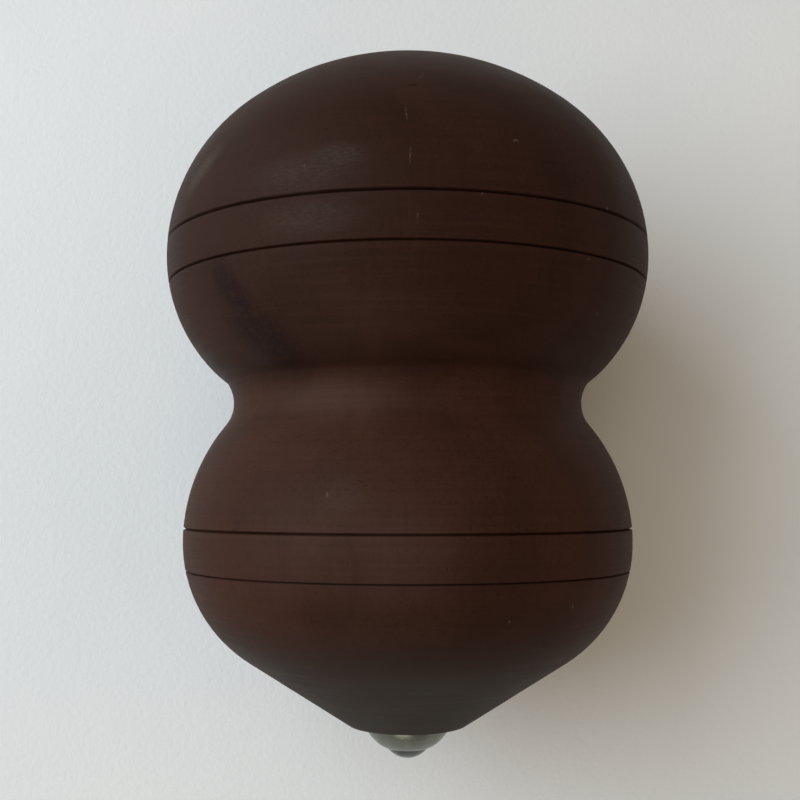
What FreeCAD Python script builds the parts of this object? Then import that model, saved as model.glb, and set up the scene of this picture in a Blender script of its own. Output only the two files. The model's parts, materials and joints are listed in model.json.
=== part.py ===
"""Hand massager: a gourd turned from one block of dark hardwood, with a steel ball that rolls in its nose.

The gourd has a large lobe for the palm, a waist for the fingers and a smaller lobe that tapers to a flat
nose, and each lobe carries two fine V grooves. The nose holds a ball unit: a seat on a threaded stud, a
hardened race cup, small support balls, the roller ball, a felt wiper, and a domed cap that keeps them in.
The stud screws into a flanged brass insert in the wood, over a spring washer.

Every sub-part is drawn about its own Z axis, with level 0 at the flat nose of the gourd, the crown towards +Z
and the ball towards -Z. One placement then lays the object on its two lobes: X is across it, +Y runs towards
the crown, +Z is up, and the origin is on the floor under the middle of its length.
"""

import FreeCAD, Part
import Sketcher
import math
import os

# Driving dimensions in millimetres and degrees. A level is a height above the flat nose along the axis.
SIZES = {
    # gourd outline, from the crown down to the nose
    "crown_level": 137.9,
    "upper_lobe_radius": 50.0,
    "upper_lobe_level": 95.6,
    "upper_shoulder_arc": 38.0,
    "upper_belly_arc": 33.0,
    "waist_arc": 6.9,
    "lower_lobe_radius": 45.9,
    "lower_lobe_level": 37.6,
    "lower_shoulder_arc": 37.0,
    "lower_belly_arc": 28.5,
    "taper_angle": 33.1,
    "nose_edge_arc": 0.7,
    # V grooves: level and radius of each bottom, and half the width of the cutter at its rim radius
    "upper_cutter_rim": 50.4,
    "lower_cutter_rim": 46.3,
    "groove_one_level": 98.3,
    "groove_one_bottom": 49.30,
    "groove_one_flare": 0.85,
    "groove_two_level": 89.7,
    "groove_two_bottom": 48.90,
    "groove_two_flare": 1.05,
    "groove_three_level": 40.1,
    "groove_three_bottom": 45.27,
    "groove_three_flare": 0.75,
    "groove_four_level": 31.7,
    "groove_four_bottom": 44.86,
    "groove_four_flare": 1.05,
    # stepped bore in the nose
    "seat_bore_radius": 9.0,
    "seat_bore_floor": 12.2,
    "insert_bore_radius": 6.5,
    "insert_bore_floor": 26.0,
    "pilot_radius": 4.4,
    "pilot_floor": 28.0,
    "drill_point": 2.5,
    # roller ball, and the small balls that carry it
    "ball_radius": 5.25,
    "ball_level": -1.5,
    "support_radius": 0.75,
    "support_step": 14.5,
    "inner_clearance": 0.02,
    "outer_clearance": 0.03,
    # race cup and seat
    "race_wall": 0.7,
    "race_rim_level": 0.4,
    "pocket_clearance": 0.02,
    "spigot_radius": 8.3,
    "seat_radius": 8.93,
    "shoulder_level": 2.6,
    "seat_back_level": 9.0,
    "stud_radius": 3.98,
    "stud_end": 24.5,
    "stud_chamfer": 0.7,
    "thread_start": 10.5,
    "thread_pitch": 1.25,
    "thread_depth": 0.6,
    # cap and felt wiper
    "dome_radius": 9.76,
    "dome_level": 3.95,
    "bevel_level": -3.95,
    "lip_radius": 4.6,
    "lip_level": -4.55,
    "cavity_clearance": 0.05,
    "cap_bore": 5.33,
    "cap_shelf_gap": 0.03,
    "skirt_bore": 8.32,
    "felt_groove_radius": 6.05,
    "felt_groove_top": -2.1,
    "felt_groove_floor": -3.1,
    "felt_bore": 5.28,
    "bench_gap": 0.02,
    # spring washer
    "washer_bore": 4.15,
    "washer_radius": 7.4,
    "washer_cut": 1.1,
    "washer_cut_slant": 1.0,
    # flanged insert
    "flange_level": 11.0,
    "flange_radius": 7.6,
    "insert_radius": 6.45,
    "insert_bore": 4.02,
    "insert_end": 25.4,
    "insert_chamfer": 0.8,
    "socket_across_flats": 9.2,
    "socket_depth": 3.0,
    "ridge_start": 13.6,
    "ridge_pitch": 2.0,
    "ridge_gap": 1.5,
    "ridge_depth": 0.9,
}

SUPPORT_RING_COUNTS = (1, 6, 12, 17, 21)
THREAD_TURNS = 11
RIDGE_TURNS = 6
HEX_SIDES = 6

# Radii about the roller ball's centre, as sums of the sizes above.
SUPPORT_ORBIT = "ball_radius + inner_clearance + support_radius"
RACE_INSIDE = f"{SUPPORT_ORBIT} + support_radius + outer_clearance"
RACE_OUTSIDE = f"{RACE_INSIDE} + race_wall"

SHEET = "Sizes"
HORIZONTAL_AXIS = -1
VERTICAL_AXIS = -2
START, END, CENTRE = 1, 2, 3


def size(formula):
    """The value of a sum of named sizes, such as "seat_radius - bench_gap"."""
    total = 0.0
    sign = 1
    for word in formula.split():
        if word in ("+", "-"):
            sign = 1 if word == "+" else -1
        else:
            total += sign * (SIZES[word] if word in SIZES else float(word))
    return total


def bound(formula):
    """The same sum as an expression over the spreadsheet's cells."""
    return " ".join(f"{SHEET}.{word}" if word in SIZES else word for word in formula.split())


def make_sheet(doc):
    sheet = doc.addObject("Spreadsheet::Sheet", SHEET)
    for row, (alias, value) in enumerate(SIZES.items(), start=1):
        sheet.set(f"A{row}", alias)
        sheet.set(f"B{row}", str(value))
        sheet.setAlias(f"B{row}", alias)
    doc.recompute()


def make_body(doc, label):
    body = doc.addObject("PartDesign::Body", label)
    body.Label = label
    return body


def make_sketch(body, name, plane="XZ_Plane"):
    """An empty sketch on one of the body's own origin planes. On XZ, x is radius and y is level."""
    sketch = body.newObject("Sketcher::SketchObject", name)
    support = [feature for feature in body.Origin.OriginFeatures if feature.Role == plane][0]
    sketch.AttachmentSupport = (support, [""])
    sketch.MapMode = "FlatFace"
    return sketch


def dimension(sketch, name, expression, constraint):
    """Adds a named dimension and binds it to the spreadsheet."""
    index = sketch.addConstraint(constraint)
    sketch.renameConstraint(index, name)
    sketch.setExpression(f"Constraints.{name}", expression)


def place_point(sketch, name, edge, end, across, up):
    """Fixes a point's two coordinates, each a sum of sizes, or None where the shape settles it."""
    for formula, kind, axis in ((across, "DistanceX", VERTICAL_AXIS), (up, "DistanceY", HORIZONTAL_AXIS)):
        if formula is None:
            continue
        if size(formula) == 0:
            sketch.addConstraint(Sketcher.Constraint("PointOnObject", edge, end, axis))
        else:
            rule = Sketcher.Constraint(kind, HORIZONTAL_AXIS, START, edge, end, size(formula))
            dimension(sketch, f"{name}_{kind}", bound(formula), rule)


def corner_position(corner, arc):
    """Where a corner starts out. A coordinate left open is found on the arc that meets the corner."""
    across, up, side = corner
    if arc is None:
        return size(across), size(up)
    level, radius = size(arc[0]), size(arc[1])
    if across is None:
        return math.sqrt(radius ** 2 - (size(up) - level) ** 2), size(up)
    return size(across), level + side * math.sqrt(radius ** 2 - size(across) ** 2)


def draw_outline(sketch, corners, arcs=None):
    """Draws a closed outline. A corner is (radius, level, side), and edge N runs from corner N to the next.

    An edge in arcs is part of a circle about the axis, given as (centre level, circle radius), and each
    corner on it leaves one coordinate open. The side is +1 or -1, above or below the circle's centre.
    """
    arcs = arcs or {}
    count = len(corners)
    places = []
    for number, corner in enumerate(corners):
        meets = arcs.get(number) or arcs.get((number - 1) % count)
        is_open = corner[0] is None or corner[1] is None
        places.append(FreeCAD.Vector(*corner_position(corner, meets if is_open else None), 0))
    first_ends = []
    for number in range(count):
        here, there = places[number], places[(number + 1) % count]
        if number not in arcs:
            sketch.addGeometry(Part.LineSegment(here, there))
            first_ends.append(START)
            continue
        level, radius = arcs[number]
        centre = FreeCAD.Vector(0, size(level), 0)
        angles = [math.atan2(place.y - centre.y, place.x - centre.x) for place in (here, there)]
        climbs = angles[1] > angles[0]
        circle = Part.Circle(centre, FreeCAD.Vector(0, 0, 1), size(radius))
        sketch.addGeometry(Part.ArcOfCircle(circle, min(angles), max(angles)))
        first_ends.append(START if climbs else END)
        place_point(sketch, f"centre{number}", number, CENTRE, "0", level)
        rule = Sketcher.Constraint("Radius", number, size(radius))
        dimension(sketch, f"radius{number}", bound(radius), rule)
    for number in range(count):
        before = (number - 1) % count
        last_end = END if first_ends[before] == START else START
        sketch.addConstraint(Sketcher.Constraint("Coincident", before, last_end, number, first_ends[number]))
        across, up = corners[number][:2]
        place_point(sketch, f"corner{number}", number, first_ends[number], across, up)


def turned(body, name, sketch, cut=False):
    """Turns a sketch through a full circle about the axis, as material or as a cut."""
    kind = "PartDesign::Groove" if cut else "PartDesign::Revolution"
    before = body.Shape.Volume if cut else None
    feature = body.newObject(kind, name)
    feature.Profile = sketch
    feature.ReferenceAxis = (sketch, ["V_Axis"])
    feature.Angle = 360
    body.Document.recompute()
    if cut and not body.Shape.Volume < before:
        raise RuntimeError(f"{name} removes nothing")
    return feature


def cut_turned_outline(body, name, corners, arcs=None):
    sketch = make_sketch(body, f"{name}_sketch")
    draw_outline(sketch, corners, arcs)
    body.Document.recompute()
    return turned(body, name, sketch, cut=True)


def turned_piece(doc, label, corners, arcs=None):
    """A body made by turning one closed outline."""
    body = make_body(doc, label)
    sketch = make_sketch(body, f"{label}_outline")
    draw_outline(sketch, corners, arcs)
    doc.recompute()
    turned(body, f"{label}_turning", sketch)
    return body


def repeat_up(body, name, feature, pitch, count):
    """Repeats a cut along the axis at a pitch that is a named size."""
    before = body.Shape.Volume
    pattern = body.newObject("PartDesign::LinearPattern", name)
    pattern.Originals = [feature]
    pattern.Direction = (feature.Profile[0], ["V_Axis"])
    pattern.Occurrences = count
    pattern.setExpression("Length", f"{SHEET}.{pitch} * {count - 1}")
    body.Tip = pattern
    body.Document.recompute()
    if not body.Shape.Volume < before:
        raise RuntimeError(f"{name} removes nothing")


def add_arc(sketch, centre, radius, low, high):
    """An arc from the angle low to the angle high, in degrees counter-clockwise."""
    circle = Part.Circle(FreeCAD.Vector(*centre, 0), FreeCAD.Vector(0, 0, 1), radius)
    return sketch.addGeometry(Part.ArcOfCircle(circle, math.radians(low), math.radians(high)))


def add_line(sketch, here, there):
    return sketch.addGeometry(Part.LineSegment(FreeCAD.Vector(*here, 0), FreeCAD.Vector(*there, 0)))


def angle_between(here, there):
    return math.degrees(math.atan2(there[1] - here[1], there[0] - here[0]))


def crown_arc_radius():
    """Radius of the arc over the crown, centred on the axis, that runs smoothly into the upper shoulder."""
    lobe, shoulder = size("upper_lobe_radius"), size("upper_shoulder_arc")
    rise = size("crown_level - upper_lobe_level")
    return (lobe ** 2 + rise ** 2 - 2 * lobe * shoulder) / (2 * (rise - shoulder))


def waist_centre(belly, shoulder):
    """Centre of the waist arc, which touches the upper belly and the lower shoulder from outside."""
    reach_above = size("upper_belly_arc + waist_arc")
    reach_below = size("lower_shoulder_arc + waist_arc")
    across, up = belly[0] - shoulder[0], belly[1] - shoulder[1]
    apart = math.hypot(across, up)
    along = (reach_below ** 2 - reach_above ** 2 + apart ** 2) / (2 * apart)
    out = math.sqrt(reach_below ** 2 - along ** 2)
    centre_radius = shoulder[0] + (along * across + out * up) / apart
    centre_level = shoulder[1] + (along * up - out * across) / apart
    return centre_radius, centre_level


def draw_gourd(sketch):
    """Half of the gourd's section: six tangent arcs, the straight taper, and the rounded edge of the nose."""
    lobe = {"upper": size("upper_lobe_radius"), "lower": size("lower_lobe_radius")}
    level = {"upper": size("upper_lobe_level"), "lower": size("lower_lobe_level")}
    centre = {}
    for half in ("upper", "lower"):
        for arc in ("shoulder", "belly"):
            centre[half, arc] = (lobe[half] - size(f"{half}_{arc}_arc"), level[half])
    crown_radius = crown_arc_radius()
    crown = (0, size("crown_level") - crown_radius)
    waist = waist_centre(centre["upper", "belly"], centre["lower", "shoulder"])
    slope = size("taper_angle")
    edge = size("nose_edge_arc")
    normal = (math.sin(math.radians(slope)), -math.cos(math.radians(slope)))
    belly = centre["lower", "belly"]
    belly_arc = size("lower_belly_arc")
    reach = belly[0] * normal[0] + belly[1] * normal[1] + belly_arc
    edge_centre = ((reach - edge - edge * normal[1]) / normal[0], edge)
    taper_top = (belly[0] + belly_arc * normal[0], belly[1] + belly_arc * normal[1])
    taper_foot = (edge_centre[0] + edge * normal[0], edge_centre[1] + edge * normal[1])

    crown_turn = angle_between(crown, centre["upper", "shoulder"])
    upper_turn = angle_between(centre["upper", "belly"], waist)
    lower_turn = angle_between(centre["lower", "shoulder"], waist)
    cap = add_arc(sketch, crown, crown_radius, crown_turn, 90)
    upper_shoulder = add_arc(sketch, centre["upper", "shoulder"], size("upper_shoulder_arc"), 0, crown_turn)
    upper_belly = add_arc(sketch, centre["upper", "belly"], size("upper_belly_arc"), upper_turn, 0)
    hollow = add_arc(sketch, waist, size("waist_arc"), upper_turn + 180, lower_turn + 180)
    lower_shoulder = add_arc(sketch, centre["lower", "shoulder"], size("lower_shoulder_arc"), 0, lower_turn)
    lower_belly = add_arc(sketch, belly, belly_arc, slope - 90, 0)
    taper = add_line(sketch, taper_foot, taper_top)
    nose_edge = add_arc(sketch, edge_centre, edge, -90, slope - 90)
    nose = add_line(sketch, (0, 0), (edge_centre[0], 0))
    axis = add_line(sketch, (0, 0), (0, size("crown_level")))

    joins = (
        ("Tangent", cap, START, upper_shoulder, END),
        ("Coincident", upper_shoulder, START, upper_belly, END),
        ("Tangent", upper_belly, START, hollow, START),
        ("Tangent", hollow, END, lower_shoulder, END),
        ("Coincident", lower_shoulder, START, lower_belly, END),
        ("Tangent", lower_belly, START, taper, END),
        ("Tangent", taper, START, nose_edge, END),
        ("Tangent", nose_edge, START, nose, END),
        ("Coincident", nose, START, axis, START),
        ("Coincident", axis, END, cap, END),
        ("Coincident", nose, START, HORIZONTAL_AXIS, START),
        ("Horizontal", nose),
        ("PointOnObject", cap, CENTRE, VERTICAL_AXIS),
        ("Horizontal", upper_shoulder, CENTRE, upper_shoulder, START),
        ("Horizontal", upper_belly, CENTRE, upper_belly, END),
        ("Horizontal", lower_shoulder, CENTRE, lower_shoulder, START),
        ("Horizontal", lower_belly, CENTRE, lower_belly, END),
    )
    for join in joins:
        sketch.addConstraint(Sketcher.Constraint(*join))
    radii = {
        "upper_shoulder_arc": upper_shoulder,
        "upper_belly_arc": upper_belly,
        "waist_arc": hollow,
        "lower_shoulder_arc": lower_shoulder,
        "lower_belly_arc": lower_belly,
        "nose_edge_arc": nose_edge,
    }
    for alias, arc in radii.items():
        dimension(sketch, alias, bound(alias), Sketcher.Constraint("Radius", arc, size(alias)))
    rule = Sketcher.Constraint("Angle", taper, math.radians(slope))
    dimension(sketch, "taper_angle", bound("taper_angle"), rule)
    place_point(sketch, "upper_lobe", upper_shoulder, START, "upper_lobe_radius", "upper_lobe_level")
    place_point(sketch, "lower_lobe", lower_shoulder, START, "lower_lobe_radius", "lower_lobe_level")
    place_point(sketch, "crown", cap, END, "0", "crown_level")


def make_turned_body(doc):
    """The gourd, its four V grooves and the stepped bore in its nose."""
    body = make_body(doc, "turned_body")
    sketch = make_sketch(body, "gourd_outline")
    draw_gourd(sketch)
    doc.recompute()
    turned(body, "gourd_turning", sketch)
    for number, half in (("one", "upper"), ("two", "upper"), ("three", "lower"), ("four", "lower")):
        groove, rim = f"groove_{number}", f"{half}_cutter_rim"
        cut_turned_outline(body, groove, [
            (f"{groove}_bottom", f"{groove}_level", 0),
            (rim, f"{groove}_level - {groove}_flare", 0),
            (rim, f"{groove}_level + {groove}_flare", 0),
        ])
    cut_turned_outline(body, "nose_bore", [
        ("0", "0", 0),
        ("seat_bore_radius", "0", 0),
        ("seat_bore_radius", "seat_bore_floor", 0),
        ("insert_bore_radius", "seat_bore_floor", 0),
        ("insert_bore_radius", "insert_bore_floor", 0),
        ("pilot_radius", "insert_bore_floor", 0),
        ("pilot_radius", "pilot_floor", 0),
        ("0", "pilot_floor + drill_point", 0),
    ])
    return body


def make_threaded_insert(doc):
    """Flanged brass insert: coarse ridges that grip the wood, a bore for the stud and a hexagon socket."""
    body = turned_piece(doc, "threaded_insert", [
        ("insert_bore", "flange_level", 0),
        ("flange_radius", "flange_level", 0),
        ("flange_radius", "seat_bore_floor - bench_gap", 0),
        ("insert_radius", "seat_bore_floor - bench_gap", 0),
        ("insert_radius", "insert_end - insert_chamfer", 0),
        ("insert_radius - insert_chamfer", "insert_end", 0),
        ("insert_bore", "insert_end", 0),
    ])
    ridge = cut_turned_outline(body, "ridge_gap", [
        ("insert_radius - ridge_depth", "ridge_start", 0),
        ("insert_bore_radius", "ridge_start", 0),
        ("insert_bore_radius", "ridge_start + ridge_gap", 0),
    ])
    repeat_up(body, "ridge_gaps", ridge, "ridge_pitch", RIDGE_TURNS)
    cut_hexagon_socket(body)
    return body


def cut_hexagon_socket(body):
    sketch = make_sketch(body, "socket_sketch", "XY_Plane")
    sketch.setExpression("AttachmentOffset.Base.z", f"{SHEET}.flange_level")
    corner_radius = size("socket_across_flats") / 2 / math.cos(math.pi / HEX_SIDES)
    rim = sketch.addGeometry(Part.Circle(FreeCAD.Vector(), FreeCAD.Vector(0, 0, 1), corner_radius), True)
    sketch.addConstraint(Sketcher.Constraint("Coincident", rim, CENTRE, HORIZONTAL_AXIS, START))
    corners = []
    for number in range(HEX_SIDES):
        turn = 2 * math.pi * number / HEX_SIDES
        corners.append((corner_radius * math.cos(turn), corner_radius * math.sin(turn)))
    sides = [add_line(sketch, corners[number - 1], corners[number]) for number in range(HEX_SIDES)]
    for number, side in enumerate(sides):
        sketch.addConstraint(Sketcher.Constraint("Coincident", sides[number - 1], END, side, START))
        sketch.addConstraint(Sketcher.Constraint("PointOnObject", side, END, rim))
        if number:
            sketch.addConstraint(Sketcher.Constraint("Equal", sides[0], side))
    sketch.addConstraint(Sketcher.Constraint("PointOnObject", sides[0], END, HORIZONTAL_AXIS))
    rule = Sketcher.Constraint("Radius", rim, corner_radius)
    dimension(sketch, "corner_radius", f"{SHEET}.socket_across_flats / 2 / cos(180 / {HEX_SIDES})", rule)
    body.Document.recompute()
    before = body.Shape.Volume
    socket = body.newObject("PartDesign::Pocket", "socket")
    socket.Profile = sketch
    socket.Reversed = True
    socket.setExpression("Length", f"{SHEET}.socket_depth")
    body.Document.recompute()
    if not body.Shape.Volume < before:
        raise RuntimeError("the hexagon socket removes nothing")


def make_spring_washer(doc):
    """Split washer between the back of the seat and the flange of the insert, with a slanted cut."""
    body = turned_piece(doc, "spring_washer", [
        ("washer_bore", "seat_back_level + bench_gap", 0),
        ("washer_radius", "seat_back_level + bench_gap", 0),
        ("washer_radius", "flange_level - bench_gap", 0),
        ("washer_bore", "flange_level - bench_gap", 0),
    ])
    sketch = make_sketch(body, "split_sketch", "YZ_Plane")
    low, high = "seat_back_level", "flange_level"
    draw_outline(sketch, [
        ("0", low, 0),
        ("washer_cut", low, 0),
        ("washer_cut + washer_cut_slant", high, 0),
        ("washer_cut_slant", high, 0),
    ])
    doc.recompute()
    before = body.Shape.Volume
    split = body.newObject("PartDesign::Pocket", "split")
    split.Profile = sketch
    split.Reversed = True
    split.setExpression("Length", f"{SHEET}.seat_bore_radius")
    doc.recompute()
    if not body.Shape.Volume < before:
        raise RuntimeError("the split removes nothing")
    return body


def make_ball_seat(doc):
    """Steel seat: a round pocket for the race cup, a spigot for the cap and a threaded stud."""
    body = turned_piece(doc, "ball_seat", [
        ("0", None, 1),
        (None, "race_rim_level", 1),
        ("spigot_radius", "race_rim_level", 0),
        ("spigot_radius", "shoulder_level", 0),
        ("seat_radius", "shoulder_level", 0),
        ("seat_radius", "seat_back_level", 0),
        ("stud_radius", "seat_back_level", 0),
        ("stud_radius", "stud_end - stud_chamfer", 0),
        ("stud_radius - stud_chamfer", "stud_end", 0),
        ("0", "stud_end", 0),
    ], {0: ("ball_level", f"{RACE_OUTSIDE} + pocket_clearance")})
    thread = cut_turned_outline(body, "thread_gap", [
        ("stud_radius - thread_depth", "thread_start", 0),
        ("insert_bore", "thread_start - thread_depth", 0),
        ("insert_bore", "thread_start + thread_depth", 0),
    ])
    repeat_up(body, "thread_gaps", thread, "thread_pitch", THREAD_TURNS)
    return body


def make_race_cup(doc):
    """Hardened cup, part of a hollow sphere about the ball's centre, that the support balls run in."""
    return turned_piece(doc, "race_cup", [
        ("0", None, 1),
        (None, "race_rim_level", 1),
        (None, "race_rim_level", 1),
        ("0", None, 1),
    ], {0: ("ball_level", RACE_OUTSIDE), 2: ("ball_level", RACE_INSIDE)})


def make_support_balls(doc):
    """Small balls in rings about the axis, a fixed angle apart as seen from the roller ball's centre."""
    orbit = f"({bound(SUPPORT_ORBIT)})"
    balls = []
    for ring, count in enumerate(SUPPORT_RING_COUNTS):
        away = f"{ring} * {SHEET}.support_step"
        for place in range(count):
            ball = doc.addObject("Part::Sphere", f"support_ball_{ring}_{place}")
            ball.setExpression("Radius", f"{SHEET}.support_radius")
            turn = f"{place} * 360 / {count}"
            ball.setExpression("Placement.Base.x", f"{orbit} * sin({away}) * cos({turn})")
            ball.setExpression("Placement.Base.y", f"{orbit} * sin({away}) * sin({turn})")
            ball.setExpression("Placement.Base.z", f"{SHEET}.ball_level + {orbit} * cos({away})")
            balls.append(ball)
    group = doc.addObject("Part::Compound", "support_balls")
    group.Label = "support_balls"
    group.Links = balls
    return group


def make_roller_ball(doc):
    ball = doc.addObject("Part::Sphere", "roller_ball")
    ball.Label = "roller_ball"
    ball.setExpression("Radius", f"{SHEET}.ball_radius")
    ball.Placement = FreeCAD.Placement(FreeCAD.Vector(0, 0, size("ball_level")), FreeCAD.Rotation())
    return ball


def make_felt_wiper(doc):
    """Felt ring that lies in the cap's inner groove and wipes the ball."""
    return turned_piece(doc, "felt_wiper", [
        ("felt_bore", "felt_groove_floor + bench_gap", 0),
        ("felt_groove_radius - bench_gap", "felt_groove_floor + bench_gap", 0),
        ("felt_groove_radius - bench_gap", "felt_groove_top - bench_gap", 0),
        ("felt_bore", "felt_groove_top - bench_gap", 0),
    ])


def make_retaining_cap(doc):
    """Domed cap: its bevelled lip closes over the ball's front, and its skirt is pressed onto the spigot."""
    shelf = "race_rim_level - cap_shelf_gap"
    return turned_piece(doc, "retaining_cap", [
        ("seat_radius", None, -1),
        (None, "bevel_level", -1),
        ("lip_radius", "lip_level", 0),
        (None, "lip_level", -1),
        (None, "felt_groove_floor", -1),
        ("felt_groove_radius", "felt_groove_floor", 0),
        ("felt_groove_radius", "felt_groove_top", 0),
        ("cap_bore", "felt_groove_top", 0),
        ("cap_bore", shelf, 0),
        ("skirt_bore", shelf, 0),
        ("skirt_bore", "shoulder_level - bench_gap", 0),
        ("seat_radius", "shoulder_level - bench_gap", 0),
    ], {0: ("dome_level", "dome_radius"), 3: ("ball_level", "ball_radius + cavity_clearance")})


def resting_placement():
    """Lays the object on a floor that touches both bellies, with the middle of its length over the origin."""
    upper = size("upper_lobe_radius - upper_belly_arc")
    lower = size("lower_lobe_radius - lower_belly_arc")
    apart = size("upper_lobe_level - lower_lobe_level")
    drop = size("upper_belly_arc - lower_belly_arc")
    tilt = math.asin(drop / math.hypot(apart, lower - upper)) - math.atan2(lower - upper, apart)
    height = size("upper_belly_arc") + upper * math.cos(tilt) - size("upper_lobe_level") * math.sin(tilt)
    crown_radius = crown_arc_radius()
    crown_end = (size("crown_level") - crown_radius) * math.cos(tilt) + crown_radius
    ball_end = size("ball_level") * math.cos(tilt) - size("ball_radius")
    turn = FreeCAD.Rotation(FreeCAD.Vector(1, 0, 0), math.degrees(tilt) - 90)
    return FreeCAD.Placement(FreeCAD.Vector(0, -(crown_end + ball_end) / 2, height), turn)


def check_document(doc, pieces):
    failed = [item.Label for item in doc.Objects if "Invalid" in item.State or "Error" in item.State]
    failed += [piece.Label for piece in pieces if piece.Shape.isNull() or not piece.Shape.isValid()]
    if failed:
        raise RuntimeError(f"failed: {', '.join(failed)}")


def main():
    os.makedirs("parts", exist_ok=True)
    doc = FreeCAD.newDocument("hand_massager")
    make_sheet(doc)
    makers = (
        make_turned_body,
        make_threaded_insert,
        make_spring_washer,
        make_ball_seat,
        make_race_cup,
        make_support_balls,
        make_roller_ball,
        make_felt_wiper,
        make_retaining_cap,
    )
    pieces = [make(doc) for make in makers]
    resting = resting_placement()
    for piece in pieces:
        piece.Placement = resting.multiply(piece.Placement)
    doc.recompute()
    check_document(doc, pieces)
    for piece in pieces:
        piece.Shape.exportStep(f"parts/{piece.Label}.step")
        box = piece.Shape.BoundBox
        print(f"{piece.Label:16s} {len(piece.Shape.Solids):3d} solids {piece.Shape.Volume:12.2f} mm3  "
              f"y {box.YMin:8.3f} {box.YMax:8.3f}  z {box.ZMin:8.3f} {box.ZMax:8.3f}")


main()
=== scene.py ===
"""Looks of the hand massager: a gourd turned from dark hardwood, with a steel ball that rolls in its nose.

Sizes are in millimetres about the massager's own axis and are turned into metres in the row frame. A level
is a height above the flat nose along that axis, with the crown up and the ball below 0. A turn is an angle
round the axis in degrees, 0 on the side that faces up as the massager lies, positive towards +X.
"""

import json
import math

import bmesh
import bpy
import numpy as np
from mathutils import Matrix, Vector, noise


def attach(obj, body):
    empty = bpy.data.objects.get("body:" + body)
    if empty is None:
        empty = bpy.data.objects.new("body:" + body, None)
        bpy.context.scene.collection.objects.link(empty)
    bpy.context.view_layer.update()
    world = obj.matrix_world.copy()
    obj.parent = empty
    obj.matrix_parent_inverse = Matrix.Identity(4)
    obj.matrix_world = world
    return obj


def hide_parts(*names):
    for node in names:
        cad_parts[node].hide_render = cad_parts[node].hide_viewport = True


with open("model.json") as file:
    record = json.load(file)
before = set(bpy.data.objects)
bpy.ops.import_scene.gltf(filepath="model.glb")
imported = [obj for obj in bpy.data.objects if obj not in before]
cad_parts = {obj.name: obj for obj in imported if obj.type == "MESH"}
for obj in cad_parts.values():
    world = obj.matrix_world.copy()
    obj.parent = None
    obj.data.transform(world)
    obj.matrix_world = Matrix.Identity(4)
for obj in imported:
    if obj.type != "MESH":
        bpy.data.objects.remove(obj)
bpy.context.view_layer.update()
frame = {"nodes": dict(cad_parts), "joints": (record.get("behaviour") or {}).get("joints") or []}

MM = 0.001

# ------------------------------------------------------------------ the massager's axis, from its joint
joint = next(each for each in frame["joints"] if each["name"] == "support_orbit")
BALL_LEVEL = -1.5
AXIS = Vector(joint["axis"]).normalized()
NOSE = Vector(joint["pos_m"]) - AXIS * BALL_LEVEL * MM
ACROSS = Vector((1, 0, 0))
UP = ACROSS.cross(AXIS)
TO_FRAME = Matrix((ACROSS, AXIS, UP)).transposed()


def place(radius, turn, level):
    """The point in the row frame, in metres, at that radius and level in mm and turn in degrees."""
    angle = math.radians(turn)
    local = Vector((radius * math.sin(angle), level, radius * math.cos(angle)))
    return NOSE + TO_FRAME @ local * MM


# ------------------------------------------------------------------ the gourd's outline
CROWN = 137.9
LOBES = {
    "upper": {"radius": 50.0, "level": 95.6, "shoulder": 38.0, "belly": 33.0},
    "lower": {"radius": 45.9, "level": 37.6, "shoulder": 37.0, "belly": 28.5},
}
WAIST_ARC = 6.9
TAPER_ANGLE = 33.1
NOSE_EDGE_ARC = 0.7
COVE_EDGE = {"level": 69.5, "depth": 0.22, "reach": 1.5}
BORE = ((9.0, 0.0), (9.0, 12.2), (6.5, 12.2), (6.5, 26.0), (4.4, 26.0), (4.4, 28.0), (0.0, 30.5))

# Each V groove: level, width at the surface and depth.
GROOVES = (
    {"level": 98.3, "width": 0.94, "depth": 0.70},
    {"level": 89.7, "width": 0.80, "depth": 0.62},
    {"level": 40.1, "width": 0.82, "depth": 0.64},
    {"level": 31.7, "width": 0.62, "depth": 0.48},
)


def arc(centre, radius, start, finish, step):
    """Points along an arc, angles in degrees counter-clockwise from the radial direction."""
    count = max(2, math.ceil(abs(math.radians(finish - start)) * radius / step))
    angles = np.radians(np.linspace(start, finish, count + 1))
    return [(centre[0] + radius * math.cos(a), centre[1] + radius * math.sin(a)) for a in angles]


def heading(here, there):
    return math.degrees(math.atan2(there[1] - here[1], there[0] - here[0]))


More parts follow.
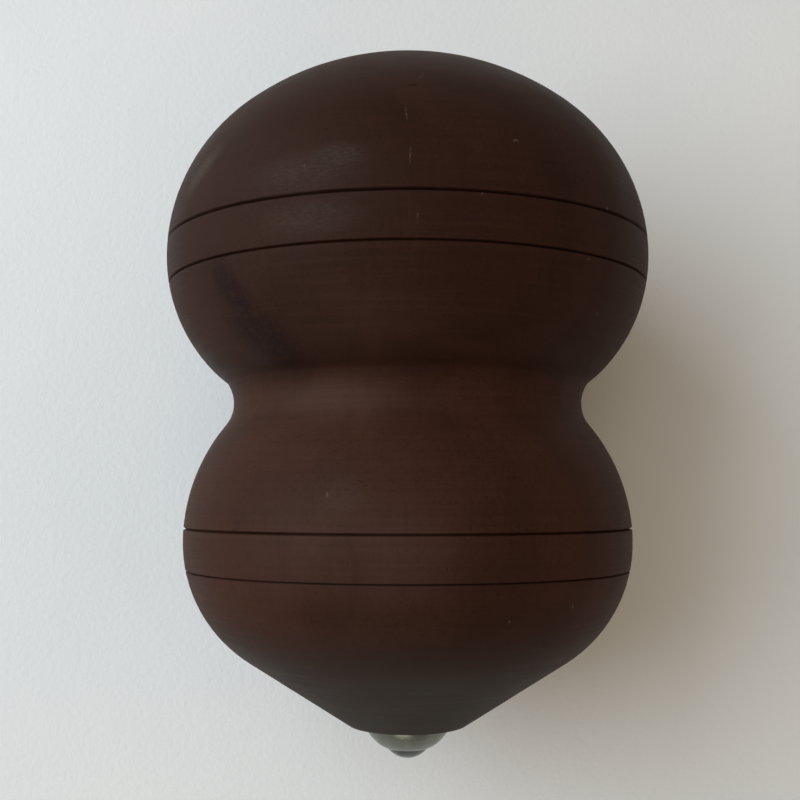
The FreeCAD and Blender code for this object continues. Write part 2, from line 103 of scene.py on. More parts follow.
def gourd_outline(step=0.05):
    """Outside of the gourd from the crown to the nose bore: six tangent arcs, the taper and the nose."""
    upper, lower = LOBES["upper"], LOBES["lower"]
    shoulder = (upper["radius"] - upper["shoulder"], upper["level"])
    belly = (upper["radius"] - upper["belly"], upper["level"])
    low_shoulder = (lower["radius"] - lower["shoulder"], lower["level"])
    low_belly = (lower["radius"] - lower["belly"], lower["level"])
    rise = CROWN - upper["level"]
    spread = upper["radius"] ** 2 + rise ** 2 - 2 * upper["radius"] * upper["shoulder"]
    crown_arc = spread / (2 * (rise - upper["shoulder"]))
    crown = (0.0, CROWN - crown_arc)

    reach_up, reach_down = upper["belly"] + WAIST_ARC, lower["shoulder"] + WAIST_ARC
    across, up = belly[0] - low_shoulder[0], belly[1] - low_shoulder[1]
    apart = math.hypot(across, up)
    along = (reach_down ** 2 - reach_up ** 2 + apart ** 2) / (2 * apart)
    out = math.sqrt(reach_down ** 2 - along ** 2)
    waist = (
        low_shoulder[0] + (along * across + out * up) / apart,
        low_shoulder[1] + (along * up - out * across) / apart,
    )

    normal = (math.sin(math.radians(TAPER_ANGLE)), -math.cos(math.radians(TAPER_ANGLE)))
    reach = low_belly[0] * normal[0] + low_belly[1] * normal[1] + lower["belly"]
    edge = ((reach - NOSE_EDGE_ARC * (1 + normal[1])) / normal[0], NOSE_EDGE_ARC)

    turn_crown = heading(crown, shoulder)
    turn_upper, turn_lower = heading(belly, waist), heading(low_shoulder, waist)
    points = arc(crown, crown_arc, 90, turn_crown, step)
    points += arc(shoulder, upper["shoulder"], turn_crown, 0, step)[1:]
    points += arc(belly, upper["belly"], 0, turn_upper, step)[1:]
    points += arc(waist, WAIST_ARC, turn_upper + 180, turn_lower + 180, step)[1:]
    points += arc(low_shoulder, lower["shoulder"], turn_lower, 0, step)[1:]
    points += arc(low_belly, lower["belly"], 0, TAPER_ANGLE - 90, step)[1:]
    points += arc(edge, NOSE_EDGE_ARC, TAPER_ANGLE - 90, -90, step)
    points.append(BORE[0])
    return np.array(points)


# ------------------------------------------------------------------ turned meshes
def smooth_noise(*where):
    return noise.noise(Vector(where))


def turned_mesh(name, rows, segments, shift=None):
    """Turns rows of (radius, level) about the axis. A row at radius 0 is a single point on the axis.

    shift(row number, turn) gives a row's point a small (radial, level) move in mm, for hand-cut unevenness.
    """
    mesh = bmesh.new()
    rings = []
    for number, (radius, level) in enumerate(rows):
        if radius < 1e-6:
            rings.append([mesh.verts.new(place(0, 0, level))])
            continue
        ring = []
        for segment in range(segments):
            turn = 360 * segment / segments
            out, up = shift(number, turn) if shift else (0, 0)
            ring.append(mesh.verts.new(place(radius + out, turn, level + up)))
        rings.append(ring)
    closed = rows[0][0] > 1e-6
    pairs = list(zip(rings, rings[1:]))
    if closed:
        pairs.append((rings[-1], rings[0]))
    for above, below in pairs:
        for segment in range(segments):
            after = (segment + 1) % segments
            if len(above) == 1:
                mesh.faces.new((above[0], below[after], below[segment]))
            elif len(below) == 1:
                mesh.faces.new((above[segment], above[after], below[0]))
            else:
                mesh.faces.new((above[segment], above[after], below[after], below[segment]))
    bmesh.ops.recalc_face_normals(mesh, faces=mesh.faces)
    for face in mesh.faces:
        face.smooth = True
    data = bpy.data.meshes.new(name)
    mesh.to_mesh(data)
    mesh.free()
    piece = bpy.data.objects.new(name, data)
    bpy.context.scene.collection.objects.link(piece)
    return piece


def sharpen(piece, angle):
    """Keeps edges sharper than that many degrees crisp under smooth shading."""
    piece.data.set_sharp_from_angle(angle=math.radians(angle))


# ------------------------------------------------------------------ the wooden body
WOOD_SEGMENTS = 450
WOOD_STEP = 1.9
CLOSEST_ROWS = 0.04
CLEAR_OF_GROOVE = 1.4
WAIST_LEVEL = 65.0
WAIST_REACH = 9.0
NOSE_EDGE_ROWS = {"start": 5.5, "finish": 3.2, "step": 0.2}  # mm before the end of the outline
SURFACE_WAVE = 0.02

# How unevenly the grooves are cut by hand.
CUT_SHARE = 0.76  # of a groove's width, since its worn rim opens it further
RIM_WEAR = 0.006
GROOVE_REACH = 1.8
GROOVE_WANDER = 0.03
WIDTH_SPREAD = 0.16
DEPTH_SPREAD = 0.10
CHIP_START = 0.45
CHIP_GROWTH = 1.4

# Places of the rows at a groove, in half widths, and at the cove's edge, in mm.
GROOVE_TABS = (-2.6, -1.7, -1.25, -1.0, -0.8, -0.5, -0.2, 0.0, 0.2, 0.5, 0.8, 1.0, 1.25, 1.7, 2.6)
COVE_TABS = (-3.6, -2.4, -1.6, -1.0, -0.6, -0.3, 0.0, 0.3, 0.6, 1.0, 1.6, 2.4, 3.6)


def groove_cut(offset, groove, width_share, depth_share):
    """Depth at that offset from a V groove's middle, with a worn rim and a small round at the bottom."""
    half = groove["width"] * width_share / 2
    across = math.sqrt((offset / half) ** 2 + RIM_WEAR)
    inside = 1 - across
    return groove["depth"] * depth_share * (inside + math.sqrt(inside ** 2 + RIM_WEAR)) / 2


def body_rows():
    """Rows along the outline: even ones, closer ones at the waist and nose, and a set at each groove.

    Gives their stations, which are lengths along the outline, the stations of the grooves' middles and of
    the cove's edge, and the rows themselves as (radius, level).
    """
    outline = gourd_outline()
    steps = np.hypot(*np.diff(outline, axis=0).T)
    along = np.concatenate(([0], np.cumsum(steps)))
    length = along[-1]
    middles = [float(np.interp(-groove["level"], -outline[:, 1], along)) for groove in GROOVES]
    near_waist = np.abs(outline[:, 1] - WAIST_LEVEL) < 12
    waist = float(along[np.argmin(np.where(near_waist, outline[:, 0], np.inf))])
    cove = float(np.interp(-COVE_EDGE["level"], -outline[:, 1], along))
    stations = list(np.arange(0, length, WOOD_STEP)) + [length]
    stations += list(np.arange(waist - WAIST_REACH, waist + WAIST_REACH, WOOD_STEP / 2))
    stations += [cove + tab for tab in COVE_TABS]
    edge = NOSE_EDGE_ROWS
    stations += list(np.arange(length - edge["start"], length - edge["finish"], edge["step"]))
    stations = [s for s in stations if all(abs(s - middle) > CLEAR_OF_GROOVE for middle in middles)]
    for groove, middle in zip(GROOVES, middles):
        stations += [middle + tab * groove["width"] / 2 for tab in GROOVE_TABS]
    stations = sorted(stations)
    spaced = [stations[0]]
    for station in stations[1:]:
        if station - spaced[-1] > CLOSEST_ROWS:
            spaced.append(station)
    spaced[-1] = length
    radii, levels = np.interp(spaced, along, outline[:, 0]), np.interp(spaced, along, outline[:, 1])
    return spaced, middles, cove, list(zip(radii, levels))


def make_turned_body():
    """The gourd, with hand-cut grooves, small chips on their rims and the stepped bore in the nose."""
    stations, middles, cove, rows = body_rows()
    outside = len(rows)
    rows = rows + list(BORE[1:])
    normals = []
    for number in range(outside):
        before, after = rows[max(number - 1, 0)], rows[min(number + 1, outside - 1)]
        run = Vector((after[0] - before[0], after[1] - before[1])).normalized()
        normals.append((-run.y, run.x))

    def shift(number, turn):
        if number >= outside - 1:
            return 0, 0
        station = stations[number]
        angle = math.radians(turn)
        round_x, round_y = math.cos(angle), math.sin(angle)
        cut = 0.0
        for index, (groove, middle) in enumerate(zip(GROOVES, middles)):
            if abs(station - middle) > GROOVE_REACH:
                continue
            wander = GROOVE_WANDER * smooth_noise(round_x * 2, round_y * 2, index * 7.3)
            width = 1 + WIDTH_SPREAD * smooth_noise(round_x * 5, round_y * 5, index * 3.1 + 20)
            depth = 1 + DEPTH_SPREAD * smooth_noise(round_x * 3, round_y * 3, index * 5.7 + 40)
            chip = max(0.0, smooth_noise(round_x * 30, round_y * 30, index * 9.1 + 60) - CHIP_START)
            opening = CUT_SHARE * width + CHIP_GROWTH * chip
            cut = groove_cut(station - middle - wander, groove, opening, depth)
        cut += COVE_EDGE["depth"] * math.exp(-abs(station - cove) / COVE_EDGE["reach"])
        wave = SURFACE_WAVE * smooth_noise(station * 0.35, round_x, round_y)
        out = wave - cut
        return out * normals[number][0], out * normals[number][1]

    piece = turned_mesh("gourd", rows, WOOD_SEGMENTS, shift)
    sharpen(piece, 50)
    return piece


# ------------------------------------------------------------------ materials
class Shader:
    """A material's node tree, with short calls to add nodes and join them."""

    def __init__(self, name):
        self.material = bpy.data.materials.new(name)
        self.material.use_nodes = True
        self.tree = self.material.node_tree
        self.tree.nodes.clear()
        self.surface = self.add("ShaderNodeBsdfPrincipled")
        output = self.add("ShaderNodeOutputMaterial")
        self.join(self.surface.outputs["BSDF"], output.inputs["Surface"])

    def add(self, kind, inputs=None, **settings):
        node = self.tree.nodes.new(kind)
        for setting, value in settings.items():
            setattr(node, setting, value)
        for socket, value in (inputs or {}).items():
            self.put(node.inputs[socket], value)
        return node

    def join(self, source, target):
        self.tree.links.new(source, target)

    def put(self, socket, value):
        if isinstance(value, bpy.types.NodeSocket):
            self.join(value, socket)
        else:
            socket.default_value = value

    def math(self, operation, *values):
        node = self.add("ShaderNodeMath", operation=operation)
        for number, value in enumerate(values):
            self.put(node.inputs[number], value)
        return node.outputs[0]

    def vector(self, operation, *values):
        node = self.add("ShaderNodeVectorMath", operation=operation)
        for number, value in enumerate(values):
            self.put(node.inputs[number], value)
        return node.outputs["Value" if operation in ("LENGTH", "DOT_PRODUCT") else "Vector"]

    def ramp(self, value, low, high, start=0.0, finish=1.0):
        """Moves value smoothly from start to finish as it goes from low to high."""
        node = self.add("ShaderNodeMapRange", interpolation_type="SMOOTHSTEP")
        for socket, number in (("Value", value), ("From Min", low), ("From Max", high), ("To Min", start),
                               ("To Max", finish)):
            self.put(node.inputs[socket], number)
        return node.outputs["Result"]

    def mix(self, share, first, second, blend="MIX"):
        node = self.add("ShaderNodeMix", data_type="RGBA", blend_type=blend)
        self.put(node.inputs["Factor"], share)
        self.put(node.inputs[6], first)
        self.put(node.inputs[7], second)
        return node.outputs[2]

    def noise(self, where, scale, detail=3.0, roughness=0.55, distortion=0.0):
        node = self.add("ShaderNodeTexNoise", {"Vector": where, "Scale": scale, "Detail": detail,
                                               "Roughness": roughness, "Distortion": distortion})
        return node.outputs["Fac"]

    def lathe_millimetres(self):
        """Position in mm about the massager's axis: x across, y up and z the level."""
        coordinates = self.add("ShaderNodeTexCoord")
        mapping = self.add("ShaderNodeMapping", vector_type="TEXTURE")
        self.join(coordinates.outputs["Object"], mapping.inputs["Vector"])
        mapping.inputs["Location"].default_value = NOSE
        mapping.inputs["Rotation"].default_value = TO_FRAME.to_euler()
        mapping.inputs["Scale"].default_value = (MM, MM, MM)
        parts = self.add("ShaderNodeSeparateXYZ", {"Vector": mapping.outputs["Vector"]}).outputs
        swapped = {"X": parts["X"], "Y": parts["Z"], "Z": parts["Y"]}
        return self.add("ShaderNodeCombineXYZ", swapped).outputs["Vector"]

    def stretch(self, where, *scales):
        return self.vector("MULTIPLY", where, scales)

    def finish(self, bumps=(), **inputs):
        """Sets the surface's inputs and chains (height, distance in mm, strength) bumps into its normal."""
        for socket, value in inputs.items():
            self.put(self.surface.inputs[socket.replace("_", " ")], value)
        normal = None
        for height, distance, strength in bumps:
            settings = {"Height": height, "Distance": distance * MM, "Strength": strength}
            bump = self.add("ShaderNodeBump", settings)
            if normal:
                self.join(normal, bump.inputs["Normal"])
            normal = bump.outputs["Normal"]
        if normal:
            self.join(normal, self.surface.inputs["Normal"])
        return self.material


def patch(shader, turn, level, centre, half, lean=0.0, strength=1.0):
    """A mark's strength at its centre (turn, level), falling to 0 at its half sizes in degrees and mm.

    lean is how many degrees the mark drifts round for each mm up.
    """
    up = shader.math("SUBTRACT", level, centre[1])
    drifted = shader.math("MULTIPLY", up, lean)
    round_off = shader.math("SUBTRACT", shader.math("SUBTRACT", turn, centre[0]), drifted)
    far_round = shader.math("POWER", shader.math("DIVIDE", round_off, half[0]), 2.0)
    far_up = shader.math("POWER", shader.math("DIVIDE", up, half[1]), 2.0)
    return shader.ramp(shader.math("SQRT", shader.math("ADD", far_round, far_up)), 1.0, 0.2, 0.0, strength)


def any_of(shader, masks):
    total = masks[0]
    for mask in masks[1:]:
        total = shader.math("MAXIMUM", total, mask)
    return total


# Marks on the wood: centre (turn, level), half sizes in degrees and mm, lean and strength.
# Scuffs. The four at turns -22 to -15, on the front of both lobes, are partly real scuffs and partly a
# painted sheen of the light.
SCUFFS_AND_SHEEN = (
    ((-22, 102.2), (16, 5.0), 0.0, 0.65),
    ((-15.0, 104.6), (9, 3.6), 0.0, 0.85),
    ((-20, 94.0), (14, 4.4), 0.0, 0.62),
    ((-15, 46.8), (8, 4.5), 0.0, 0.45),
    ((-54, 107.6), (6, 6.0), 1.0, 1.8),
    ((104, 70.0), (16, 9.0), 0.0, 0.8),
    ((168, 112.0), (20, 9.0), 0.0, 1.0),
    ((-142, 28.0), (18, 6.0), 0.0, 1.0),
)
SCRATCHES = (
    ((-0.6, 113.0), (0.32, 2.4), -0.10, 1.0),
    ((0.2, 104.5), (0.28, 2.2), 0.05, 0.8),
    ((1.6, 94.0), (0.25, 2.2), 0.0, 0.7),
    ((3.0, 121.5), (0.32, 1.6), 0.9, 1.0),
    ((23.0, 108.4), (1.1, 0.45), 0.8, 1.4),
    ((41.0, 88.8), (0.8, 0.5), 0.6, 1.2),
    ((42.0, 26.8), (0.5, 1.0), -0.6, 1.2),
    ((-128.0, 60.0), (0.6, 5.0), 1.2, 1.0),
)
# Paler patches: the three at turns -18, -14 and -12 are painted highlights of the light on the front of the
# waist and both lobes; the one at turn 150 is paler wood.
PALE_WOOD_AND_HIGHLIGHTS = (
    ((-18, 63.5), (38, 7.5), 0.0, 1.0),
    ((-14, 37.0), (38, 13.0), 0.0, 1.0),
    ((-12, 77.5), (26, 9.0), 0.0, 0.4),
    ((150, 60.0), (50, 16.0), 0.2, 0.9),
)
# Painted dark reflection: a dark streak on the lower left of the large lobe, painted into the wood's
# colour.
DARK_REFLECTIONS = (
    ((-42.0, 83.5), (7.0, 9.5), -0.6, 1.1),
    ((-37.5, 75.0), (12.5, 8.5), -0.6, 1.1),
)
DENT = ((0.9, 119.0), (1.8, 0.4), 0.0)


# Colours of the wood, of what is on it and of the light and shade painted into it.
WOOD = {
    "dark low": (0.0272, 0.0106, 0.0062, 1),
    "dark high": (0.0360, 0.0138, 0.0080, 1),
    "red low": (0.0415, 0.0156, 0.0090, 1),
    "red high": (0.0520, 0.0200, 0.0117, 1),
    "blotch": (0.0300, 0.0135, 0.0085, 1),
    "band": (0.0160, 0.0056, 0.0030, 1),
    "streak": (0.0150, 0.0052, 0.0030, 1),
    "fleck": (0.0115, 0.0045, 0.0030, 1),
    "pale": (0.0720, 0.0370, 0.0260, 1),
    "pore": (0.0075, 0.0031, 0.0021, 1),
    "dark ring": (0.0120, 0.0046, 0.0032, 1),
    "light ring": (0.0560, 0.0230, 0.0140, 1),
    "dark_reflection": (0.0112, 0.0040, 0.0042, 1),
    "scuff_and_sheen": (0.115, 0.095, 0.080, 1),
    "scratch": (0.150, 0.105, 0.075, 1),
    "nick": (0.150, 0.100, 0.070, 1),
    "dent": (0.006, 0.003, 0.002, 1),
    "groove_dark": (0.0040, 0.0018, 0.0012, 1),
    "taper": (0.0150, 0.0105, 0.0080, 1),
    "dust_and_floor_sheen": (0.0470, 0.0520, 0.0465, 1),
}


def dark_hardwood():
    """Oiled dark heartwood: figure along the block, pores, lathe rings, scuffs partly painted as sheen,
    painted highlights, a painted dark reflection and small nicks.
    """
    shader = Shader("dark_hardwood")
    where = shader.lathe_millimetres()
    parts = shader.add("ShaderNodeSeparateXYZ", {"Vector": where})
    level = parts.outputs["Z"]
    turn = shader.math("DEGREES", shader.math("ARCTAN2", parts.outputs["X"], parts.outputs["Y"]))
    radius = shader.vector("LENGTH", shader.stretch(where, 1.0, 1.0, 0.0))

    # figure: colour bands of a block whose heart lies off to one side, drawn out along the axis
    bent_bands = shader.noise(shader.stretch(where, 0.035, 0.035, 0.010), 1.0, 2.0)
    to_heart = shader.vector("SUBTRACT", where, (31.0, -64.0, 0.0))
    from_heart = shader.vector("LENGTH", shader.stretch(to_heart, 1.0, 1.0, 0.0))
    bend = shader.math("MULTIPLY", bent_bands, 9.0)
    bands = shader.math("SINE", shader.math("ADD", shader.math("MULTIPLY", from_heart, 0.62), bend))
    streaks = shader.noise(shader.stretch(where, 0.9, 0.9, 0.05), 1.0, 4.0, 0.6)
    mottle = shader.noise(shader.stretch(where, 1.0, 1.0, 0.6), 0.07, 4.0, 0.6, 0.4)
    blotch = shader.noise(where, 0.024, 2.0, 0.5)
    flecks = shader.noise(shader.stretch(where, 1.0, 1.0, 1.4), 1.3, 4.0, 0.75)

    mottled = shader.ramp(mottle, 0.28, 0.72)
    dark = shader.mix(mottled, WOOD["dark low"], WOOD["dark high"])
    red = shader.mix(mottled, WOOD["red low"], WOOD["red high"])
    wander = shader.math("ADD", level, shader.math("MULTIPLY", blotch, 8.0))
    brown = shader.mix(shader.ramp(wander, 75.0, 70.0), dark, red)
    brown = shader.mix(shader.ramp(blotch, 0.42, 0.66, 0.0, 0.45), brown, WOOD["blotch"])
    brown = shader.mix(shader.ramp(bands, -0.4, 1.0, 0.0, 0.17), brown, WOOD["band"])
    brown = shader.mix(shader.ramp(streaks, 0.50, 0.70, 0.0, 0.16), brown, WOOD["streak"])
    brown = shader.mix(shader.ramp(flecks, 0.52, 0.68, 0.0, 0.42), brown, WOOD["fleck"])

    # paler patches: paler wood at the back, painted highlights at the front
    paler = any_of(shader, [patch(shader, turn, level, *mark) for mark in PALE_WOOD_AND_HIGHLIGHTS])
    pale = shader.math("MULTIPLY", paler, shader.ramp(mottle, 0.30, 0.62, 0.35, 1.0))
    brown = shader.mix(shader.math("MULTIPLY", pale, 0.52), brown, WOOD["pale"])

    # pores: short thin dark lines along the grain
    pores = shader.noise(shader.stretch(where, 4.0, 4.0, 0.6), 1.0, 2.0, 0.5)
    pore_mask = shader.ramp(pores, 0.65, 0.74)
    brown = shader.mix(shader.math("MULTIPLY", pore_mask, 0.38), brown, WOOD["pore"])

    # lathe rings: fine lines round the axis, by level less radius, which changes all along the outline
    along = shader.math("SUBTRACT", level, radius)
    ring_place = shader.add("ShaderNodeCombineXYZ", {"Z": along})
    drift = shader.stretch(where, 0.012, 0.012, 0.0)
    ring_where = shader.vector("ADD", ring_place.outputs["Vector"], drift)
    coarse = shader.noise(ring_where, 1.1, 3.0, 0.6)
    fine = shader.noise(ring_where, 4.5, 2.0, 0.6)
    brown = shader.mix(shader.ramp(coarse, 0.40, 0.62, 0.0, 0.10), brown, WOOD["dark ring"])
    brown = shader.mix(shader.ramp(fine, 0.52, 0.72, 0.0, 0.20), brown, WOOD["light ring"])

    # painted dark reflection: a dark purplish streak down the lower left of the large lobe
    feather = shader.noise(where, 0.9, 4.0, 0.7)
    dark_reflection_patches = any_of(shader, [patch(shader, turn, level, *mark) for mark in DARK_REFLECTIONS])
    dark_reflection = shader.math("MULTIPLY", dark_reflection_patches, shader.ramp(feather, 0.34, 0.58, 0.35, 1.0))
    brown = shader.mix(shader.math("MULTIPLY", dark_reflection, 0.80), brown, WOOD["dark_reflection"])

    # scuffs and scratches: a dull pale film, in patches broken up by the way the tool was handled; at the
    # front of both lobes the scuff patches are partly real scuffs and partly a painted sheen
    rub = shader.noise(shader.stretch(where, 0.8, 0.8, 2.2), 1.1, 6.0, 0.78, 0.2)
    scuff_and_sheen_patches = any_of(shader, [patch(shader, turn, level, *mark) for mark in SCUFFS_AND_SHEEN])
    scuff_and_sheen = shader.math("MULTIPLY", scuff_and_sheen_patches, shader.ramp(rub, 0.38, 0.72, 0.22, 1.0))
    broken = shader.noise(where, 1.7, 3.0, 0.6)
    scratched = any_of(shader, [patch(shader, turn, level, *mark) for mark in SCRATCHES])
    scratch = shader.math("MULTIPLY", scratched, shader.ramp(broken, 0.42, 0.60))
    brown = shader.mix(shader.math("MULTIPLY", scuff_and_sheen, 0.34), brown, WOOD["scuff_and_sheen"])
    brown = shader.mix(shader.math("MULTIPLY", scratch, 0.42), brown, WOOD["scratch"])

    # nicks: tiny pale chips, longer along the grain, far apart, and one small dark dent
    along_grain = shader.stretch(where, 1.0, 1.0, 0.5)
    cells = shader.add("ShaderNodeTexVoronoi", {"Vector": along_grain, "Scale": 0.13})
    nick = shader.ramp(cells.outputs["Distance"], 0.045, 0.020)
    brown = shader.mix(shader.math("MULTIPLY", nick, 0.30), brown, WOOD["nick"])
    dent = patch(shader, turn, level, *DENT)
    brown = shader.mix(shader.math("MULTIPLY", dent, 0.7), brown, WOOD["dent"])

    # darker in the bottoms of the grooves
    grooved = any_of(shader, [
        shader.ramp(shader.math("ABSOLUTE", shader.math("SUBTRACT", level, groove["level"])),
                    groove["width"] * 0.32, groove["width"] * 0.08)
        for groove in GROOVES
    ])
    brown = shader.mix(shader.math("MULTIPLY", grooved, 0.40), brown, WOOD["groove_dark"])

    # taper: darker towards the nose, under a grey film that thickens towards the nose, partly dust and
    # partly a painted reflection of the bright floor
    brown = shader.mix(shader.ramp(level, 28.0, 14.0, 0.0, 0.38), brown, WOOD["taper"])
    cloud = shader.noise(where, 0.16, 4.0, 0.65, 0.5)
    dust_and_floor_sheen = shader.math("MULTIPLY", shader.ramp(level, 25.0, 2.0), shader.ramp(cloud, 0.25, 0.75, 0.65, 1.0))
    brown = shader.mix(shader.math("MULTIPLY", dust_and_floor_sheen, 0.62), brown, WOOD["dust_and_floor_sheen"])

    dull = shader.ramp(mottle, 0.3, 0.7, 0.52, 0.60)
    dull = shader.math("ADD", dull, shader.math("MULTIPLY", scuff_and_sheen, 0.14))
    dull = shader.math("ADD", dull, shader.ramp(fine, 0.35, 0.65, -0.03, 0.03))
    dull = shader.math("ADD", dull, shader.math("MULTIPLY", dust_and_floor_sheen, 0.10))
    dull = shader.math("SUBTRACT", dull, shader.math("MULTIPLY", dark_reflection, 0.06))
    hollows = any_of(shader, [nick, dent, shader.math("MULTIPLY", scratch, 0.5)])
    return shader.finish(
        bumps=(
            (coarse, 0.011, 0.5),
            (fine, 0.006, 0.5),
            (flecks, 0.022, 0.4),
            (shader.math("SUBTRACT", 1.0, pore_mask), 0.02, 0.20),
            (shader.math("SUBTRACT", 1.0, hollows), 0.08, 0.8),
        ),
        Base_Color=brown,
        Roughness=dull,
        Specular_IOR_Level=0.062,
    )


def turned_steel(name, dark, light, dull, ring_scale=3.0, ring_depth=0.006):
    """Satin metal with fine tool rings about the axis, faint handling marks and smears."""
    shader = Shader(name)
    where = shader.lathe_millimetres()
    radius = shader.vector("LENGTH", shader.stretch(where, 1.0, 1.0, 0.0))
    level = shader.add("ShaderNodeSeparateXYZ", {"Vector": where}).outputs["Z"]
    ring_place = shader.add("ShaderNodeCombineXYZ", {"X": radius, "Z": level}).outputs["Vector"]
    drift = shader.stretch(where, 0.03, 0.03, 0.0)
    rings = shader.noise(shader.vector("ADD", ring_place, drift), ring_scale, 3.0)
    smear = shader.noise(where, 0.35, 4.0, 0.6, 0.5)
    marks = shader.noise(shader.stretch(where, 2.5, 2.5, 0.6), 1.0, 5.0, 0.7)
    colour = shader.mix(shader.ramp(smear, 0.35, 0.65), dark, light)
    colour = shader.mix(shader.ramp(rings, 0.45, 0.65, 0.0, 0.35), colour, dark)
    rough = shader.math("ADD", shader.ramp(rings, 0.3, 0.7, dull - 0.05, dull + 0.06),
                        shader.ramp(marks, 0.5, 0.75, 0.0, 0.12))
    bumps = ((rings, ring_depth, 0.7),)
    return shader.finish(bumps, Base_Color=colour, Roughness=rough, Metallic=1.0)


def ball_steel():
    """Polished bearing steel, dark, with light rolling scratches in every direction."""
    shader = Shader("ball_steel")
    where = shader.lathe_millimetres()
    haze = shader.noise(where, 0.5, 4.0, 0.6)
    lines = shader.noise(shader.stretch(where, 0.5, 6.0, 1.2), 1.0, 3.0, 0.6, 1.5)
    cross = shader.noise(shader.stretch(where, 5.0, 0.7, 1.4), 1.0, 3.0, 0.6, 1.5)
    scratches = shader.math("MAXIMUM", shader.ramp(lines, 0.60, 0.68), shader.ramp(cross, 0.60, 0.68))
    colour = shader.mix(shader.ramp(haze, 0.35, 0.65), (0.080, 0.088, 0.084, 1), (0.118, 0.126, 0.119, 1))
    worn = shader.math("MULTIPLY", scratches, 0.10)
    rough = shader.math("ADD", shader.ramp(haze, 0.3, 0.7, 0.14, 0.24), worn)
    bumps = ((scratches, 0.003, 0.4),)
    return shader.finish(bumps, Base_Color=colour, Roughness=rough, Metallic=1.0)


def wool_felt():
    """Pressed wool felt: matted short fibres."""
    shader = Shader("wool_felt")
    where = shader.lathe_millimetres()
    mat = shader.noise(where, 3.0, 5.0, 0.7, 1.2)
    fibres = shader.noise(shader.stretch(where, 9.0, 2.0, 5.0), 1.0, 3.0, 0.6, 2.0)
    colour = shader.mix(shader.ramp(mat, 0.35, 0.65), (0.26, 0.24, 0.20, 1), (0.42, 0.40, 0.35, 1))
    rough = shader.ramp(fibres, 0.3, 0.7, 0.85, 1.0)
    return shader.finish(
        bumps=((mat, 0.08, 0.8), (fibres, 0.04, 0.6)),
        Base_Color=colour,
        Roughness=rough,
        Sheen_Weight=0.4,
    )


# ------------------------------------------------------------------ the steel nose
NOSE_SEGMENTS = 192
BALL_RADIUS = 5.25
CAP_DOME = {"radius": 9.76, "level": 3.95}
CAP_SIDE = 8.93
CAP_TOP = 2.58
SKIRT_BORE = 8.32
CAP_BORE = 5.33
SHELF = 0.37
BEVEL_LEVEL = -3.95
LIP = {"radius": 4.6, "level": -4.55}
CAVITY = 5.30
FELT_GROOVE = {"radius": 6.05, "top": -2.1, "floor": -3.1}


def bent(before, corner, after, reach, count=4):
    """Points that round off a corner, starting that far before it and ending that far after it."""
    corner = Vector(corner)
    start = corner + (Vector(before) - corner).normalized() * reach
    finish = corner + (Vector(after) - corner).normalized() * reach
    points = []
    for step in range(count + 1):
        t = step / count
        points.append(tuple(start * (1 - t) ** 2 + corner * 2 * t * (1 - t) + finish * t ** 2))
    return points


def circle_radius(centre_level, radius, level):
    return math.sqrt(radius ** 2 - (level - centre_level) ** 2)


def make_cap():
    """Domed cap with a bevel and a thin lip, the felt groove inside and the skirt in the wood."""
    centre, dome = CAP_DOME["level"], CAP_DOME["radius"]
    bevel_top = (circle_radius(centre, dome, BEVEL_LEVEL), BEVEL_LEVEL)
    lip_out = (LIP["radius"], LIP["level"])
    lip_in = (circle_radius(BALL_LEVEL, CAVITY, LIP["level"]), LIP["level"])
    first = heading((0, centre), (CAP_SIDE, 0.0))
    last = heading((0, centre), bevel_top)
    groove_in = circle_radius(BALL_LEVEL, CAVITY, FELT_GROOVE["floor"])
    rows = [(SKIRT_BORE, SHELF), (SKIRT_BORE, CAP_TOP)]
    rows += [(CAP_SIDE - 0.1, CAP_TOP), (CAP_SIDE, CAP_TOP - 0.1)]
    rows += arc((0, centre), dome, first, last, 0.14)[:-2]
    rows += bent(rows[-1], bevel_top, lip_out, 0.16)
    rows += bent(bevel_top, lip_out, lip_in, 0.10)
    rows += [lip_in]
    inner = heading((0, BALL_LEVEL), lip_in)
    outer = heading((0, BALL_LEVEL), (groove_in, FELT_GROOVE["floor"]))
    rows += arc((0, BALL_LEVEL), CAVITY, inner, outer, 0.14)[1:]
    rows += [(FELT_GROOVE["radius"], FELT_GROOVE["floor"]), (FELT_GROOVE["radius"], FELT_GROOVE["top"])]
    rows += [(CAP_BORE, FELT_GROOVE["top"]), (CAP_BORE, SHELF)]
    piece = turned_mesh("domed_cap", rows, NOSE_SEGMENTS)
    sharpen(piece, 40)
    return piece


def make_ball():
    rows = arc((0, BALL_LEVEL), BALL_RADIUS, 90, -90, 0.16)
    rows[0], rows[-1] = (0.0, BALL_LEVEL + BALL_RADIUS), (0.0, BALL_LEVEL - BALL_RADIUS)
    return turned_mesh("steel_ball", rows, NOSE_SEGMENTS)


# ------------------------------------------------------------------ floor, lights and camera
FLOOR_RADIUS = 1.7
LAMP_AIM = Vector((0, 0, 0.04))
HORIZON = (0.340, 0.325, 0.305, 1)
OVERHEAD = (0.255, 0.200, 0.130, 1)


def pale_foam():
    shader = Shader("pale_foam")
    where = shader.add("ShaderNodeTexCoord").outputs["Object"]
    cloud = shader.noise(where, 9.0, 3.0)
    grain = shader.noise(where, 700.0, 3.0, 0.6)
    colour = shader.mix(shader.ramp(cloud, 0.3, 0.7), (0.78, 0.80, 0.82, 1), (0.82, 0.83, 0.84, 1))
    return shader.finish(bumps=((grain, 0.25, 0.5),), Base_Color=colour, Roughness=0.7)


def make_floor():
    """A wide round sheet under the massager."""
    mesh = bmesh.new()
    bmesh.ops.create_circle(mesh, cap_ends=True, radius=FLOOR_RADIUS, segments=180)
    data = bpy.data.meshes.new("floor")
    mesh.to_mesh(data)
    mesh.free()
    floor = bpy.data.objects.new("floor", data)
    bpy.context.scene.collection.objects.link(floor)
    data.materials.append(pale_foam())


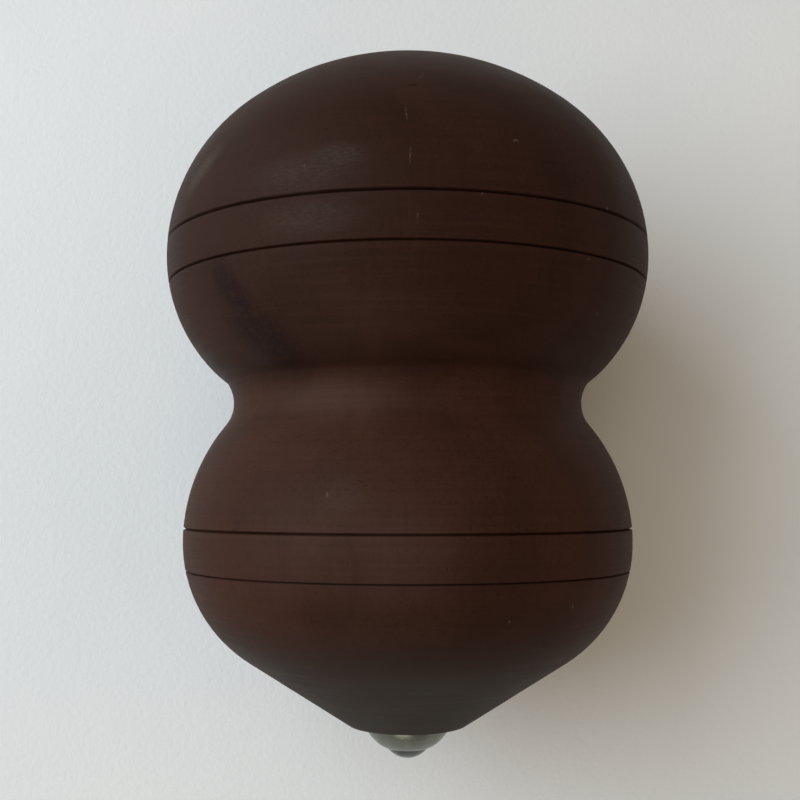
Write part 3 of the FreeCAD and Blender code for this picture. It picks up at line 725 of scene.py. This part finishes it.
def make_lamp(name, where, size, power, colour):
    lamp = bpy.data.lights.new(name, "AREA")
    lamp.shape = "RECTANGLE"
    lamp.size, lamp.size_y = size
    lamp.energy = power
    lamp.color = colour
    thing = bpy.data.objects.new(name, lamp)
    thing.location = where
    thing.visible_camera = False
    thing.rotation_euler = (LAMP_AIM - Vector(where)).to_track_quat("-Z", "Y").to_euler()
    bpy.context.scene.collection.objects.link(thing)


def make_lights():
    """A large cool window on the left, soft sky above, a weak warm fill and a glint for the steel nose."""
    make_lamp("window", (-0.86, 0.26, 0.74), (1.3, 1.1), 14.8, (0.82, 0.92, 1.0))
    make_lamp("sky", (-0.25, 0.30, 1.15), (1.0, 0.7), 1.6, (0.86, 0.95, 1.0))
    make_lamp("fill", (0.95, -0.15, 0.55), (1.0, 0.8), 1.2, (1.0, 0.62, 0.30))
    make_lamp("glint", (-0.16, -0.82, 0.35), (0.45, 0.2), 0.70, (1.0, 0.96, 0.80))
    bpy.context.scene.view_settings.view_transform = "Standard"


def make_room():
    """Plain light from all round: pale grey near the floor and warmer from higher up."""
    world = bpy.data.worlds.new("room")
    bpy.context.scene.world = world
    world.use_nodes = True
    nodes, links = world.node_tree.nodes, world.node_tree.links
    direction = nodes.new("ShaderNodeTexCoord")
    height = nodes.new("ShaderNodeSeparateXYZ")
    share = nodes.new("ShaderNodeMapRange")
    colour = nodes.new("ShaderNodeMix")
    share.interpolation_type = "SMOOTHSTEP"
    share.inputs["From Min"].default_value = 0.30
    share.inputs["From Max"].default_value = 0.55
    colour.data_type = "RGBA"
    colour.inputs[6].default_value = HORIZON
    colour.inputs[7].default_value = OVERHEAD
    links.new(direction.outputs["Generated"], height.inputs["Vector"])
    links.new(height.outputs["Z"], share.inputs["Value"])
    links.new(share.outputs["Result"], colour.inputs["Factor"])
    links.new(colour.outputs[2], nodes["Background"].inputs["Color"])


# The camera looks down on the massager from 0.24 m, tipped a little towards the ball.
CAMERA_LENS = 50.85
CAMERA_DISTANCE = 237.4
CAMERA_AIM_LEVEL = 66.65
CAMERA_SIDE = -1.55
CAMERA_TIP = 4.73


def make_camera():
    lens = bpy.data.cameras.new("camera")
    lens.lens = CAMERA_LENS
    lens.sensor_width = 36
    lens.clip_start = 0.01
    camera = bpy.data.objects.new("camera", lens)
    tip = math.radians(CAMERA_TIP)
    back = UP * math.cos(tip) - AXIS * math.sin(tip)
    aim = place(0, 0, CAMERA_AIM_LEVEL) + ACROSS * CAMERA_SIDE * MM
    camera.location = aim + back * CAMERA_DISTANCE * MM
    camera.rotation_euler = (-back).to_track_quat("-Z", "Y").to_euler()
    bpy.context.scene.collection.objects.link(camera)
    bpy.context.scene.camera = camera


# ------------------------------------------------------------------ the whole massager
def dress(piece, material, body, node):
    """Gives a new piece its material and its body, and hides the CAD node that it stands for."""
    piece.data.materials.clear()
    piece.data.materials.append(material)
    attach(piece, body)
    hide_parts(node)


def recolour(node, material):
    """A CAD node that stays, in a better material."""
    data = frame["nodes"][node].data
    data.materials.clear()
    data.materials.append(material)


make_camera()
make_lights()
make_room()
make_floor()

satin = turned_steel("satin_steel", (0.165, 0.172, 0.148, 1), (0.200, 0.208, 0.180, 1), 0.30)
ground = turned_steel("ground_steel", (0.50, 0.51, 0.52, 1), (0.62, 0.63, 0.64, 1), 0.16, 6.0, 0.002)
spring = turned_steel("spring_steel", (0.10, 0.10, 0.11, 1), (0.17, 0.17, 0.18, 1), 0.34)
brass = turned_steel("turned_brass", (0.52, 0.36, 0.13, 1), (0.68, 0.50, 0.22, 1), 0.24)

dress(make_turned_body(), dark_hardwood(), "housing", "turned_body")
dress(make_cap(), satin, "housing", "retaining_cap")
dress(make_ball(), ball_steel(), "roller_ball", "roller_ball")
recolour("ball_seat", satin)
recolour("race_cup", ground)
recolour("support_balls", ground)
recolour("spring_washer", spring)
recolour("threaded_insert", brass)
recolour("felt_wiper", wool_felt())
